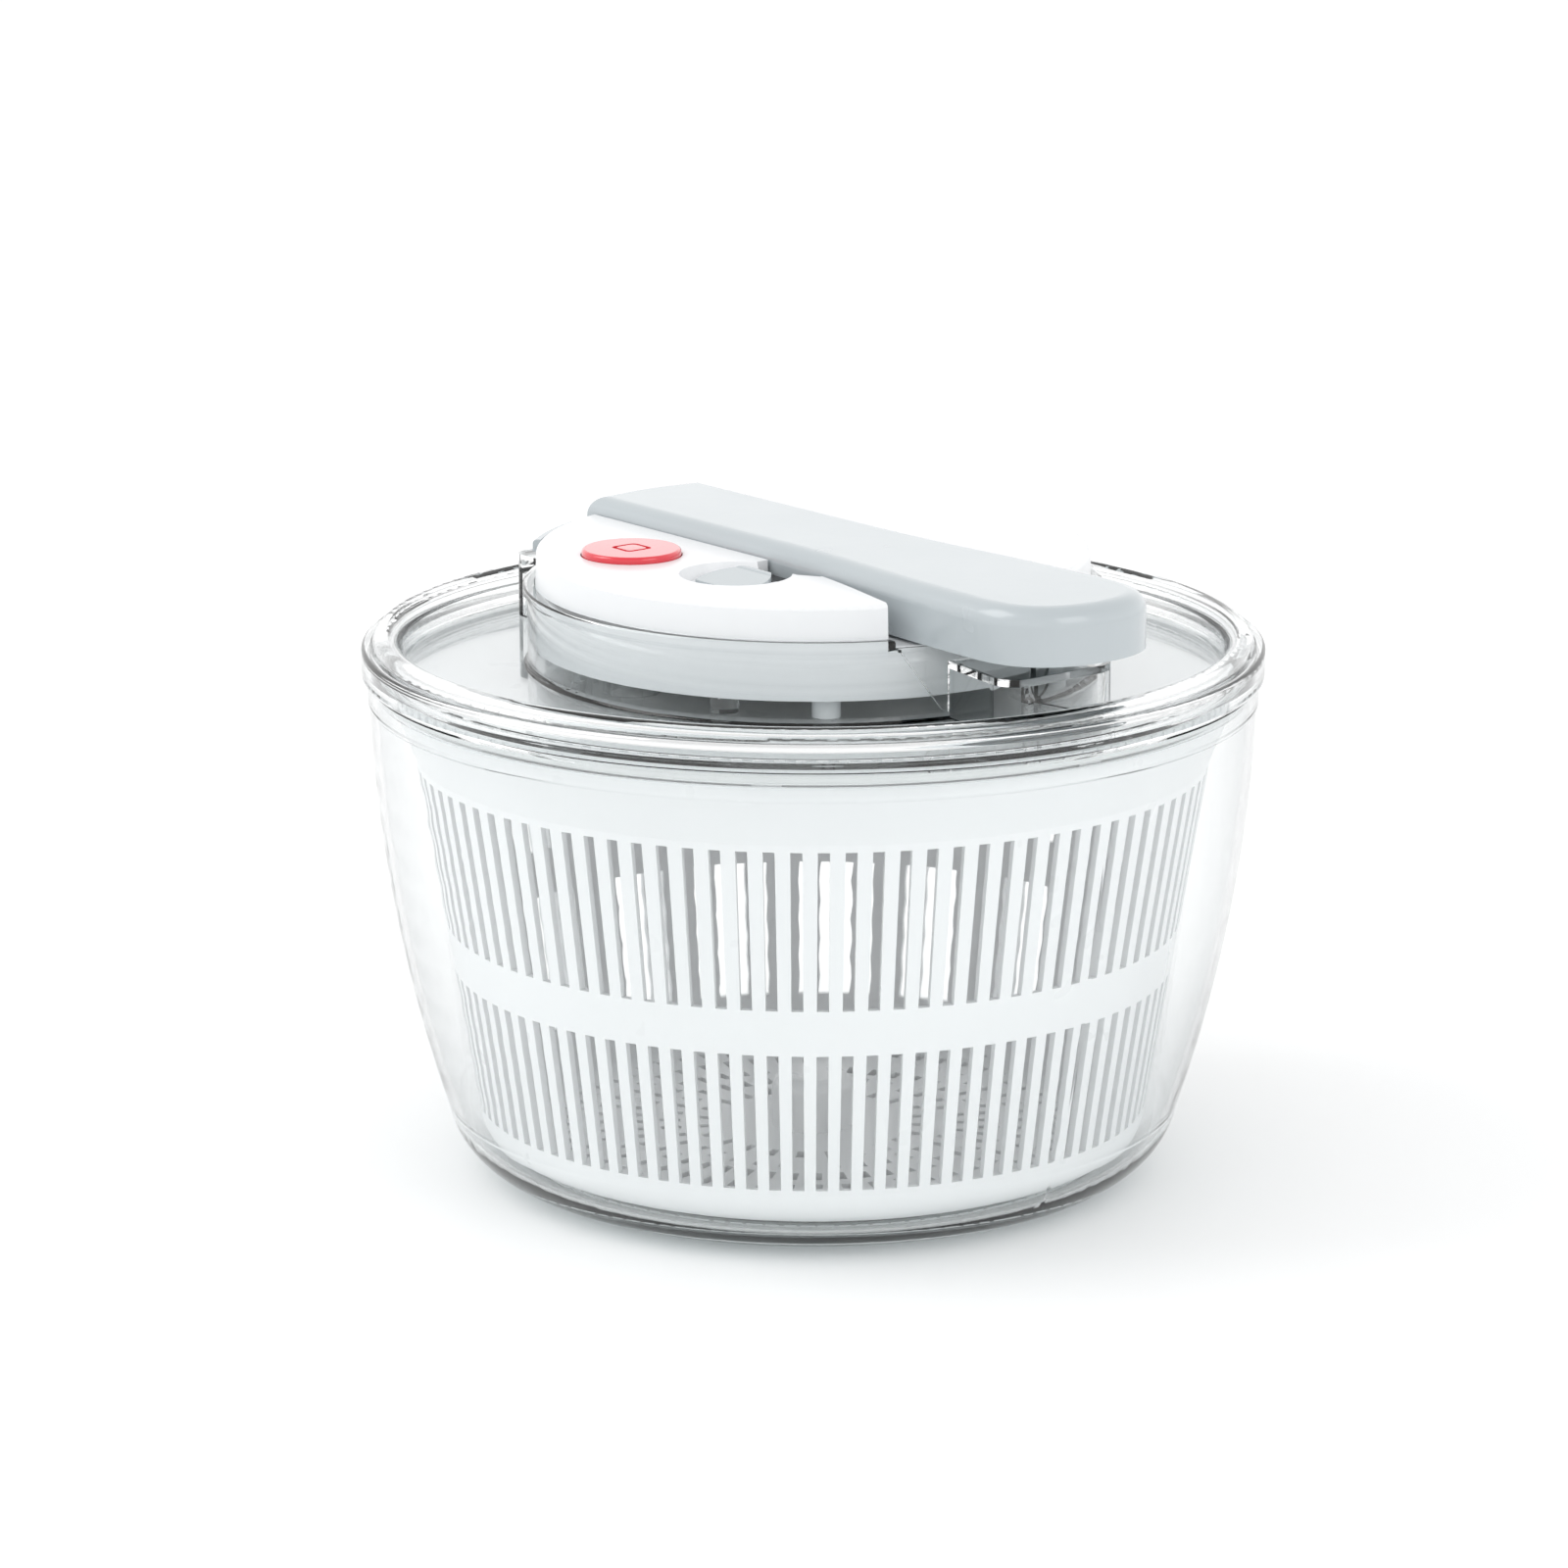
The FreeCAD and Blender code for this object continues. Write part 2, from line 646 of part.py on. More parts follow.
def lid_shell():
    inside = disc(turret_inner, deck_top, turret_top + 1)
    mouth_floor = channel_floor - 0.3
    mouth = block(turret_radius / 2, collar_radius + 1, -opening_top_half, opening_top_half,
                  mouth_floor, turret_top + 1)
    outer_skin = tube(collar_radius + 2, turret_radius - turret_wall / 2, deck_top, turret_top + 6)
    wall = turret().cut(mouth).cut(turret_opening().common(outer_skin))
    nose = nose_prism(0, turret_inner - 8, deck_top, nose_top)
    hinge_block = block(-block_end, -turret_inner + 12, -block_half_width, block_half_width,
                        deck_top, block_top)
    hinge_block = round_upright(hinge_block, block_corner, -block_end)
    shell = fuse(lid_rim(), wall, nose.cut(inside), hinge_block.cut(inside))
    nose_hollow = nose_prism(lid_wall, turret_inner - 12, deck_top, nose_top - lid_wall)
    room_half = block_half_width - lid_wall
    block_hollow = block(-block_end + lid_wall, -turret_inner + 16, -room_half, room_half,
                       deck_top, block_top - 2.4 * lid_wall)
    block_hollow = round_upright(block_hollow, block_corner - lid_wall, -block_end + lid_wall)
    posts = [disc(post_radius, deck_top, plate_bottom, *on_circle(*post)) for post in plate_posts]
    guide = disc(guide_radius, deck_top, brake_guide_top, brake_x, brake_y)
    axle_boss = disc(2 * axle_radius, deck_top, wheel_bottom - 0.2, axle_x, axle_y)
    shell = shell.cut(nose_hollow).cut(block_hollow).cut(lip_sweep())
    shell = fuse(shell, guide, axle_boss, *posts)
    holes = [disc(bush_radius, deck_bottom - 1, deck_top + 1),
             disc(pad_hole_radius, deck_bottom - 1, brake_guide_top + 1, brake_x, brake_y),
             disc(axle_radius, deck_bottom + 0.8, deck_top + 1, axle_x, axle_y)]
    holes += [disc(screw_radius, plate_bottom - 7, plate_bottom + 1, *on_circle(*post))
              for post in plate_posts]
    holes += [disc(screw_radius, deck_bottom - 1, deck_top + 1, *on_circle(*post))
              for post in cover_posts]
    return shell.cut(Part.makeCompound(holes))


def lid_seal():
    middle = skirt_bottom + 1.2 + seal_height / 2
    reach = bowl_mouth_radius - bowl_wall - skirt_radius - slide_gap
    return revolve((skirt_radius, middle - seal_height / 2), [
        ((skirt_radius + reach, middle), (skirt_radius, middle + seal_height / 2))])


def mechanism_cover():
    inner = cover_radius - cover_wall
    skirt_inner = cover_skirt_radius - cover_wall
    edge = cover_edge
    shell = revolve((0, cover_underside), [
        (inner, cover_underside), (skirt_inner, turret_top), (skirt_inner, cover_skirt_bottom),
        (cover_skirt_radius, cover_skirt_bottom), (cover_skirt_radius, turret_top),
        (cover_radius, cover_top - edge),
        ((cover_radius - 0.3 * edge, cover_top - 0.3 * edge), (cover_radius - edge, cover_top)),
        (0, cover_top)])
    trough = channel_prism(cover_wall, channel_floor - channel_floor_wall, cover_top)
    trough = trough.common(disc(inner + 0.5, deck_top, cover_top))
    posts = [disc(post_radius, deck_top, cover_underside, *on_circle(*post)) for post in cover_posts]
    recess_wall = disc(recess_radius + 1.2, recess_floor - recess_floor_wall, cover_top - 0.5,
                       recess_x, recess_y)
    shell = fuse(shell, trough, recess_wall, *posts)
    channel = channel_prism(0, channel_floor, cover_top + 5)
    hinge_well = channel_prism(0, nose_top - lid_wall, cover_top + 5)
    hinge_well = hinge_well.common(block(-2 * cover_radius, channel_floor_start, -cover_radius,
                                         cover_radius, deck_top, cover_top + 5))
    lip_relief = tail_sector(tube(lip_outer_radius, lip_inner_radius - 1.2, nose_top - lid_wall,
                                  cover_top + 1), lip_half_angle + 3)
    recess = cone(recess_floor_radius, recess_radius, recess_floor, cover_top, recess_x, recess_y)
    latch_slot = block(recess_x - 2.8, recess_x + 2.8, latch_knob_back + 3 - slide_gap,
                       latch_knob_front - 2 + latch_travel + slide_gap, recess_floor - 5, recess_floor + 1)
    side = -lever_half_width - channel_gap
    hook_window = block(recess_x - latch_hook_half - body_gap, recess_x + latch_hook_half + body_gap,
                        side - cover_wall - 1, side + 1, latch_hook_bottom - body_gap,
                        latch_hook_bottom + latch_hook_height + body_gap)
    cuts = [channel, hinge_well, lip_relief, recess, latch_slot, hook_window,
            notch_face().extrude(V(0, 0, cover_top + 1 - notch_floor)),
            disc(button_radius + slide_gap, cover_underside - 1, cover_top + 1, brake_x, brake_y),
            rod_y(hinge_pin_radius, -cover_radius / 2, cover_radius / 2, hinge_x, hinge_z)]
    cuts += [disc(screw_radius, deck_top - 1, deck_top + 9, *on_circle(*post)) for post in cover_posts]
    for cut in cuts:
        shell = shell.cut(cut)
    return shell


def notch_face():
    """Plan of the dark notch between the lever and the latch's recess."""
    side = -lever_half_width - channel_gap
    deep = side - 6.4
    return outline((recess_x - 9, side + 0.2), [
        (recess_x - 8.5, side - 4.5), (recess_x - 4, deep), (recess_x + 12, deep),
        (recess_x + 18, side - 2.8), (recess_x + 18.5, side + 0.2)],
        lambda x, y: V(x, y, notch_floor))


def latch_guide():
    """Black strip on the notch's floor; the latch's knob slides over it."""
    strip = notch_face().makeOffset2D(-slide_gap).extrude(V(0, 0, guide_height))
    return strip.cut(channel_prism(slide_gap, notch_floor - 1, cover_top))


def screws(posts, head_bottom, length, head_down):
    """One node of equal screws; the shank goes up from a low head, or down from a high one."""
    bodies = []
    for post in posts:
        x, y = on_circle(*post)
        head_top = head_bottom + screw_head_height
        shank = (head_top, head_top + length) if head_down else (head_bottom - length, head_bottom)
        head = disc(screw_head_radius, head_bottom, head_top, x, y)
        slot_z = head_bottom if head_down else head_top - 0.7
        cross = [block(x - 1.7, x + 1.7, y - 0.35, y + 0.35, slot_z, slot_z + 0.7),
                 block(x - 0.35, x + 0.35, y - 1.7, y + 1.7, slot_z, slot_z + 0.7)]
        bodies.append(fuse(head, disc(screw_radius, *shank, x, y)).cut(cross[0]).cut(cross[1]))
    return Part.makeCompound(bodies)


def cover_screws():
    return screws(cover_posts, deck_bottom - screw_head_height, lid_wall + 7, True)


def plate_screws():
    return screws(plate_posts, plate_top, plate_height + 6, False)


def lever_hinge_pin():
    reach = lever_half_width + channel_gap + cover_wall
    return rod_y(hinge_pin_radius, -reach, reach, hinge_x, hinge_z)


def lever_return_spring():
    return coil(hinge_pin_radius + 1.3, spring_wire, 6, 8, V(hinge_x, sector_width / 2 + 2, hinge_z),
                ACROSS)


def gear_plate():
    """Bridge over the gears: it carries the axle, the spindle's top and the rack's rails."""
    rack_side = rack_half_width + slide_gap
    rack_far = rack_half_width - tooth_root * gear_module + slide_gap
    tail = rack_back - 1
    ledge_front = axle_x - wheel_radius - tooth_top * gear_module - 1
    rails = [block(tail, axle_x + 10, -rack_side - rail_wall, -rack_side, rack_bottom, plate_bottom),
             block(tail, axle_x - 14, rack_far, rack_far + rail_wall, rack_bottom, plate_bottom),
             block(tail, ledge_front, -rack_side - rail_wall, rack_far + rail_wall,
                   wheel_bottom + 0.5, rack_bottom - 0.2),
             block(tail, ledge_front, -rack_side - rail_wall, -rack_side, wheel_bottom + 0.5, rack_bottom),
             block(tail, ledge_front, rack_far, rack_far + rail_wall, wheel_bottom + 0.5, rack_bottom)]
    plate = fuse(disc(plate_radius, plate_bottom, plate_top), *rails)
    swing = math.sqrt((sector_radius + gear_module) ** 2 - (hinge_z - plate_top) ** 2) + 1
    cuts = [block(hinge_x - swing, hinge_x + swing, -sector_width / 2 - 1, sector_width / 2 + 1,
                  plate_bottom - 1, plate_top + 1),
            disc(axle_radius, plate_bottom - 1, plate_top + 1, axle_x, axle_y),
            disc(spindle_radius + run_gap, plate_bottom - 1, plate_top + 1),
            disc(plunger_radius + slide_gap, plate_bottom - 1, plate_top + 1, brake_x, brake_y)]
    cuts += [disc(screw_radius, plate_bottom - 1, plate_top + 1, *on_circle(*post))
             for post in plate_posts]
    cuts += [disc(post_radius + body_gap, plate_bottom - 1, plate_top + 1, *on_circle(*post))
             for post in cover_posts]
    return plate.cut(Part.makeCompound(cuts))


def transfer_axle():
    return disc(axle_radius, deck_bottom + 0.8, plate_top, axle_x, axle_y)


def drive_bush():
    bore = cup_outer_radius + run_gap
    return fuse(tube(bush_radius, bore, deck_bottom, deck_top),
                tube(bush_flange_radius, bore, deck_bottom - bush_flange_height, deck_bottom))


# ---- lever and gears ---------------------------------------------------------------------
def lever():
    body = lever_prism(0, lip_outer_radius, lever_bottom, lever_top)
    step_radius = cover_radius - cover_edge / 3
    below_lip = tube(2 * cover_radius, step_radius, lever_bottom - 1, lip_bottom)
    below_lip = below_lip.common(block(-2 * cover_radius, channel_floor_start, -cover_radius,
                                       cover_radius, lever_bottom - 1, lip_bottom))
    lip = revolve((lip_inner_radius, lip_bottom), [
        (lip_outer_radius, lip_bottom), (lip_outer_radius, lip_top - lip_edge),
        ((lip_outer_radius - 0.3 * lip_edge, lip_top - 0.3 * lip_edge),
         (lip_outer_radius - lip_edge, lip_top)), (lip_inner_radius, lip_top)])
    room = lever_prism(lever_wall, step_radius - lever_wall, lever_bottom - 1, lever_top - lever_wall)
    body = body.cut(below_lip).cut(room)
    ears = [rod_y(lever_ear_radius, y, y + lever_wall, hinge_x, hinge_z)
            for y in (-lever_half_width, lever_half_width - lever_wall)]
    body = fuse(body, tail_sector(lip, lip_half_angle), *ears)
    pocket = block(recess_x - latch_hook_half - 1, recess_x + latch_hook_half + 1,
                   -lever_half_width - 2, -lever_half_width + lever_wall + 0.5,
                   latch_hook_bottom - body_gap, latch_hook_bottom + latch_hook_height + body_gap)
    holes = [disc(screw_radius, lever_top - lever_wall - 1, lever_top - 1, x, 0) for x in sector_screw_x()]
    bore = rod_y(hinge_pin_radius + run_gap, -lever_half_width - 1, lever_half_width + 1,
                 hinge_x, hinge_z)
    return body.cut(Part.makeCompound([pocket, bore] + holes))


def sector_screw_x():
    return hinge_x - 7.5, hinge_x + 7.5


def lever_sector():
    """Toothed quadrant under the lever: its lowest tooth stands straight below the hinge."""
    half = sector_width / 2
    wheel = gear(sector_teeth, -90, -half, half)
    reach = 3 * sector_radius
    wedge = prism((0, 0), [on_circle(reach, -137), on_circle(reach, -106), on_circle(reach, -74.5)],
                  -half, half)
    flange_top = lever_top - lever_wall - hinge_z
    flange = block(-10.5, 10.5, flange_top - 3, flange_top, -half, half)
    web = block(-4.5, 4.5, 0, flange_top, -half, half)
    hub = disc(hinge_pin_radius + 2.5, -half, half)
    teeth = fuse(wheel.common(wedge), hub, web, flange)
    teeth = teeth.cut(disc(hinge_pin_radius + run_gap, -half - 1, half + 1))
    teeth.rotate(CENTRE, V(1, 0, 0), 90)
    teeth.translate(V(hinge_x, 0, hinge_z))
    holes = [disc(screw_radius, hinge_z, lever_top, x, 0) for x in sector_screw_x()]
    return teeth.cut(holes[0]).cut(holes[1])


def sector_screws():
    flange_bottom = lever_top - lever_wall - 3
    posts = [(-x, 180) for x in sector_screw_x()]
    return screws(posts, flange_bottom - screw_head_height, 3 + lever_wall - 1, True)


def drive_rack():
    root = tooth_root * gear_module
    body = block(rack_back, rack_front, -rack_half_width, rack_half_width - root,
                 rack_bottom, rack_pitch_z - root)
    pitch = math.pi * gear_module
    half = sector_width / 2 + 0.2
    teeth = []
    for i in range(-4, 2):
        top_x = hinge_x + (i + 0.5) * pitch
        top = [V(top_x + a, -half, rack_pitch_z + h) for a, h in rack_tooth()]
        teeth.append(Part.Face(Part.makePolygon(top + top[:1])).extrude(V(0, 2 * half, 0)))
        side_x = axle_x + (i + 0.5) * pitch
        flank = [V(side_x + a, rack_half_width + h, rack_bottom) for a, h in rack_tooth()]
        side = Part.Face(Part.makePolygon(flank + flank[:1]))
        teeth.append(side.extrude(V(0, 0, rack_pitch_z - root - rack_bottom)))
    return fuse(body, *teeth)


def transfer_gear():
    wheel_top = wheel_bottom + wheel_height
    wheel = gear(wheel_teeth, mesh_angle, wheel_bottom, wheel_top)
    window = disc(5.5, wheel_bottom - 1, wheel_top + 1, (pinion_radius + wheel_radius) / 2 + 1, 0)
    wheel = wheel.cut(Part.makeCompound(ring_of(window, 5)))
    pinion = gear(pinion_teeth, -90, wheel_top, pinion_top)
    train = fuse(wheel, pinion).cut(disc(axle_radius + run_gap, wheel_bottom - 1, pinion_top + 1))
    train.translate(V(axle_x, axle_y, 0))
    return train


def drive_gear():
    """Centre gear on top of the ratchet's cup."""
    inner = cup_outer_radius - cup_ring_width
    ring = tube(cup_outer_radius, inner, cup_bottom, cup_floor)
    step = 360.0 / ratchet_teeth
    tooth = prism(on_circle(inner + 0.5, 0), [
        on_circle(inner + 0.5, 0.9 * step), on_circle(inner - ratchet_depth, 0.08 * step),
        on_circle(inner - ratchet_depth, 0)], cup_bottom, cup_floor)
    plate = disc(cup_outer_radius, cup_floor, cup_top)
    pinion = gear(drive_teeth, mesh_angle + 180 + 180.0 / drive_teeth, cup_top,
                  wheel_bottom + wheel_height + 0.4)
    bore = disc(spindle_radius + run_gap, cup_bottom - 1, pinion_top)
    return fuse(ring, plate, pinion, *ring_of(tooth, ratchet_teeth)).cut(bore)


# ---- drive disc --------------------------------------------------------------------------
def drive_disc():
    rim_inner = disc_radius - disc_rim_width
    skirt = disc_skirt_radius()
    plate = disc(disc_radius, disc_bottom, disc_top)
    rim = tube(disc_radius, rim_inner, disc_top, disc_rim_top)
    notch = block(disc_radius - disc_tooth_depth, disc_radius + 1, -disc_tooth_width / 2,
                  disc_tooth_width / 2, disc_top, disc_rim_top + 1)
    rim = rim.cut(Part.makeCompound(ring_of(notch, disc_tooth_count)))
    apron = tube(skirt, skirt - disc_skirt_width, disc_skirt_bottom, disc_bottom)
    lugs = rim_lugs(lug_width, lug_depth, disc_skirt_bottom, disc_bottom)
    pegs = [disc(1.2, disc_top, disc_top + 2.6, *on_circle(8.0, 360.0 * i / pawl_count))
            for i in range(pawl_count)]
    whole = fuse(plate, rim, apron, *lugs, *pegs)
    return whole.cut(disc(spindle_radius, disc_bottom - 1, disc_top + 1))


def drive_spindle():
    head = disc(2.4 * spindle_radius, disc_bottom - 1.8, disc_bottom)
    return fuse(head, disc(spindle_radius, disc_bottom, spindle_top))


def ratchet_pawls():
    """Pawls on the disc's pegs, drawn in clear of the cup's teeth, as when the basket coasts."""
    low = disc_top + 0.2
    reach = cup_outer_radius - cup_ring_width - ratchet_depth - body_gap
    pawl = prism(on_circle(8.0 - 2.2, 0), [
        (on_circle(8.0, -16), on_circle(8.0 + 2.0, -4)), on_circle(reach - 0.2, 32),
        on_circle(reach - 1.8, 38), (on_circle(6.6, 18), on_circle(8.0 - 2.2, 0))],
        low, low + pawl_height)
    pawl = pawl.cut(disc(1.2, low - 1, low + pawl_height + 1, 8.0, 0))
    return Part.makeCompound(ring_of(pawl, pawl_count))


def spindle_clip():
    low = plate_top + 0.3
    ring = tube(clip_radius, spindle_radius, low, low + clip_height)
    return ring.cut(block(0, clip_radius + 1, -1.6, 1.6, low - 1, low + clip_height + 1))


# ---- brake and latch ---------------------------------------------------------------------
def brake_button():
    low = cover_underside - body_gap - button_flange_height
    edge = button_edge
    cap = revolve((0, low - 1.5), [
        (button_radius - 1, low - 1.5), (button_radius - 1, low), (button_flange_radius, low),
        (button_flange_radius, low + button_flange_height),
        (button_radius, low + button_flange_height), (button_radius, button_top - edge),
        ((button_radius - 0.3 * edge, button_top - 0.3 * edge), (button_radius - edge, button_top - 0.1)),
        (0, button_top)])
    room = tube(button_radius - 2.5, plunger_radius + 2, low - 2, button_top - 2.2)
    socket = disc(plunger_radius, low - 2, plunger_top())
    cap = cap.cut(room).cut(socket)
    cap.translate(V(brake_x, brake_y, 0))
    return cap.cut(stop_mark(mark_size).cut(stop_mark(mark_size - 2 * mark_line)))


def stop_mark(size):
    half = size / 2
    low = button_top - 0.1 - mark_depth
    mark = block(brake_x - half, brake_x + half, brake_y - half, brake_y + half, low, button_top + 1)
    corners = [e for e in mark.Edges if abs(e.BoundBox.ZLength - button_top - 1 + low) < 1e-6]
    return mark.makeFillet(size / 5, corners)


def plunger_top():
    return button_top - 4.5


def brake_plunger():
    pad_top = pad_bottom + pad_height
    stem = disc(plunger_radius, pad_top, plunger_top(), brake_x, brake_y)
    return fuse(stem, disc(pad_radius - 0.8, pad_top, pad_top + 1.5, brake_x, brake_y))


def brake_pad():
    pad = disc(pad_radius, pad_bottom, pad_bottom + pad_height, brake_x, brake_y)
    return pad.makeFillet(0.6, [e for e in pad.Edges if abs(e.BoundBox.ZMax - pad_bottom) < 1e-6])


def brake_spring():
    low = plate_top + spring_wire + 0.1
    high = cover_underside - body_gap - button_flange_height - 1.5 - spring_wire - 0.1
    return coil(plunger_radius + 1.3, spring_wire, 6, high - low, V(brake_x, brake_y, low))


def lever_latch():
    """Thumb slide in the recess; its hook goes through the channel's wall into the lever."""
    low = recess_floor + 0.2
    back = latch_knob_back
    front = latch_knob_front
    wide = latch_knob_radius
    ramp = outline((back, low), [
        (front, low), (front, cover_top - 0.8),
        ((front - 1.4, cover_top + 0.1), (front - 3.4, cover_top - 0.3)), (back, recess_floor + 1)],
        lambda y, z: V(recess_x - wide, y, z)).extrude(V(2 * wide, 0, 0))
    knob = ramp.common(disc(wide, low, cover_top + 1, recess_x, latch_knob_y))
    stem = block(recess_x - 2.5, recess_x + 2.5, back + 3, front - 2, latch_hook_bottom, low + 0.5)
    half = latch_hook_half
    hook = block(recess_x - half, recess_x + half, back + 3, latch_hook_tip,
                 latch_hook_bottom, latch_hook_bottom + latch_hook_height)
    return fuse(knob, stem, hook)


NODES = [bowl, non_slip_ring, basket_pivot_pin, basket_bearing_cup, basket, lid_shell, lid_seal,
         mechanism_cover, latch_guide, cover_screws, plate_screws, lever_hinge_pin, lever_return_spring,
         gear_plate, transfer_axle, drive_bush, lever, lever_sector, sector_screws, drive_rack,
         transfer_gear, drive_gear, drive_disc, drive_spindle, ratchet_pawls, spindle_clip,
         brake_button, brake_plunger, brake_pad, brake_spring, lever_latch]

os.makedirs("parts", exist_ok=True)
for make in NODES:
    shape = make()
    if not shape.isValid():
        print("not valid:", make.__name__)
    print(make.__name__, len(shape.Solids), "solids", round(shape.Volume / 1000, 2), "cm3")
    shape.exportStep("parts/" + make.__name__ + ".step")
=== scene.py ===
import json
import math

import bpy
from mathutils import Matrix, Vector


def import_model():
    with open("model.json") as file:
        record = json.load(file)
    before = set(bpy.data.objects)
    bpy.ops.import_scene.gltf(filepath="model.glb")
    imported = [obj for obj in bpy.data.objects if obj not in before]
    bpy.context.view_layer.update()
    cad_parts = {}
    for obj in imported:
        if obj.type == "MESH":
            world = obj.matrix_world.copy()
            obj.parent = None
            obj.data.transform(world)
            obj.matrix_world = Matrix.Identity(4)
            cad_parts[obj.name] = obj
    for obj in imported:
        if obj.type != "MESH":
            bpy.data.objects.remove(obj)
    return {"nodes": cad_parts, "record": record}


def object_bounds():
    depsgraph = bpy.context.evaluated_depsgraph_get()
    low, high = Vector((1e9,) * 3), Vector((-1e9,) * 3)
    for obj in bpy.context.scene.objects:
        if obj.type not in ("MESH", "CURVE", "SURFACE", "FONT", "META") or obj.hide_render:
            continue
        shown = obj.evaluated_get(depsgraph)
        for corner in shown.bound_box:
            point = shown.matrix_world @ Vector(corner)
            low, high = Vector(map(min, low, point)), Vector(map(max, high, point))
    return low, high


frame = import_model()
cad_low, cad_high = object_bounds()
NODES = frame["nodes"]

# ---- camera and light, in metres and degrees -----------------------------------------------
CAMERA_AZIMUTH = 51.0        # from the front, towards the grip's side
CAMERA_DISTANCE = 1.650      # level distance from the spinner's axis
CAMERA_HEIGHT = 0.530
CAMERA_LENS = 134.8          # millimetres on a 36 mm sensor
AIM_HEIGHT = 0.1121
AIM_LEFT = 0.0084            # the spinner stands a little right of the picture's middle
FLOOR_HALF = 6.0
FLOOR_DROP = 0.0002          # keeps the floor clear of the foot's underside
LIGHT_TARGET = (0, 0, 0.1)
WORLD_LEVELS = ((0.0, 1.35), (0.35, 1.25), (0.75, 0.95), (1.0, 0.8))   # height, brightness
MIX_FIRST, MIX_SECOND, MIX_RESULT = 6, 7, 2      # a Mix node's colour sockets


# ---- node material helpers -----------------------------------------------------------------
def set_stops(ramp, stops):
    """Give a colour ramp these (position, colour) stops."""
    elements = ramp.color_ramp.elements
    while len(elements) < len(stops):
        elements.new(0.5)
    for element, (at, colour) in zip(elements, stops):
        element.position = at
        element.color = (*colour, 1.0)


class Material:
    """A node material under construction, with short calls for the nodes used here."""

    def __init__(self, name):
        self.mat = bpy.data.materials.new(name)
        self.mat.use_nodes = True
        self.tree = self.mat.node_tree
        self.tree.nodes.clear()
        self.out = self.add("ShaderNodeOutputMaterial")
        self.place = self.add("ShaderNodeTexCoord").outputs["Object"]

    def add(self, kind, **settings):
        node = self.tree.nodes.new(kind)
        for key, value in settings.items():
            setattr(node, key, value)
        return node

    def link(self, source, socket):
        self.tree.links.new(source, socket)

    def noise(self, scale, detail=4.0):
        node = self.add("ShaderNodeTexNoise")
        self.link(self.place, node.inputs["Vector"])
        node.inputs["Scale"].default_value = scale
        node.inputs["Detail"].default_value = detail
        node.inputs["Roughness"].default_value = 0.55
        return node.outputs["Fac"]

    def remap(self, value, low, high):
        """Spread the middle of a value's range, 0.3 to 0.7, over low to high."""
        node = self.add("ShaderNodeMapRange")
        self.link(value, node.inputs["Value"])
        node.inputs["From Min"].default_value = 0.3
        node.inputs["From Max"].default_value = 0.7
        node.inputs["To Min"].default_value = low
        node.inputs["To Max"].default_value = high
        return node.outputs["Result"]

    def drift(self, value, low, high):
        """Colour that goes from low to high as the value goes from 0.3 to 0.7."""
        node = self.add("ShaderNodeValToRGB")
        self.link(value, node.inputs["Fac"])
        set_stops(node, [(0.3, low), (0.7, high)])
        return node.outputs["Color"]

    def bump(self, height, strength, distance):
        node = self.add("ShaderNodeBump")
        self.link(height, node.inputs["Height"])
        node.inputs["Strength"].default_value = strength
        node.inputs["Distance"].default_value = distance
        return node.outputs["Normal"]

    def facing(self, blend):
        """0 where the surface faces the view, 1 where it is seen edge on."""
        node = self.add("ShaderNodeLayerWeight")
        node.inputs["Blend"].default_value = blend
        return node.outputs["Facing"]

    def edge_on(self, blend):
        """The same, but with a clean 0 over most of the surface."""
        node = self.add("ShaderNodeMapRange")
        self.link(self.facing(blend), node.inputs["Value"])
        node.inputs["From Min"].default_value = 0.25
        node.inputs["From Max"].default_value = 0.95
        return node.outputs["Result"]

    def blend(self, factor, first, second):
        """Mix two colours; each is a socket or three numbers."""
        node = self.add("ShaderNodeMix", data_type="RGBA")
        self.link(factor, node.inputs["Factor"])
        for socket, value in ((node.inputs[MIX_FIRST], first), (node.inputs[MIX_SECOND], second)):
            if isinstance(value, tuple):
                socket.default_value = (*value, 1.0)
            else:
                self.link(value, socket)
        return node.outputs[MIX_RESULT]

    def principled(self, **values):
        node = self.add("ShaderNodeBsdfPrincipled")
        for key, value in values.items():
            node.inputs[key.replace("_", " ")].default_value = value
        return node

    def show(self, shader):
        self.link(shader, self.out.inputs["Surface"])
        return self.mat


def moulded(name, colour, shade, roughness, coat=0.0):
    """Injection-moulded plastic: slight colour drift, uneven polish and a faint orange peel."""
    m = Material(name)
    bsdf = m.principled(IOR=1.49, Coat_Weight=coat, Coat_Roughness=0.06, Specular_IOR_Level=0.5)
    m.link(m.drift(m.noise(9.0, 2.0), shade, colour), bsdf.inputs["Base Color"])
    m.link(m.remap(m.noise(60.0, 2.0), roughness * 0.9, roughness * 1.15), bsdf.inputs["Roughness"])
    m.link(m.bump(m.noise(420.0, 2.0), 0.02, 0.0003), bsdf.inputs["Normal"])
    return m.show(bsdf.outputs["BSDF"])


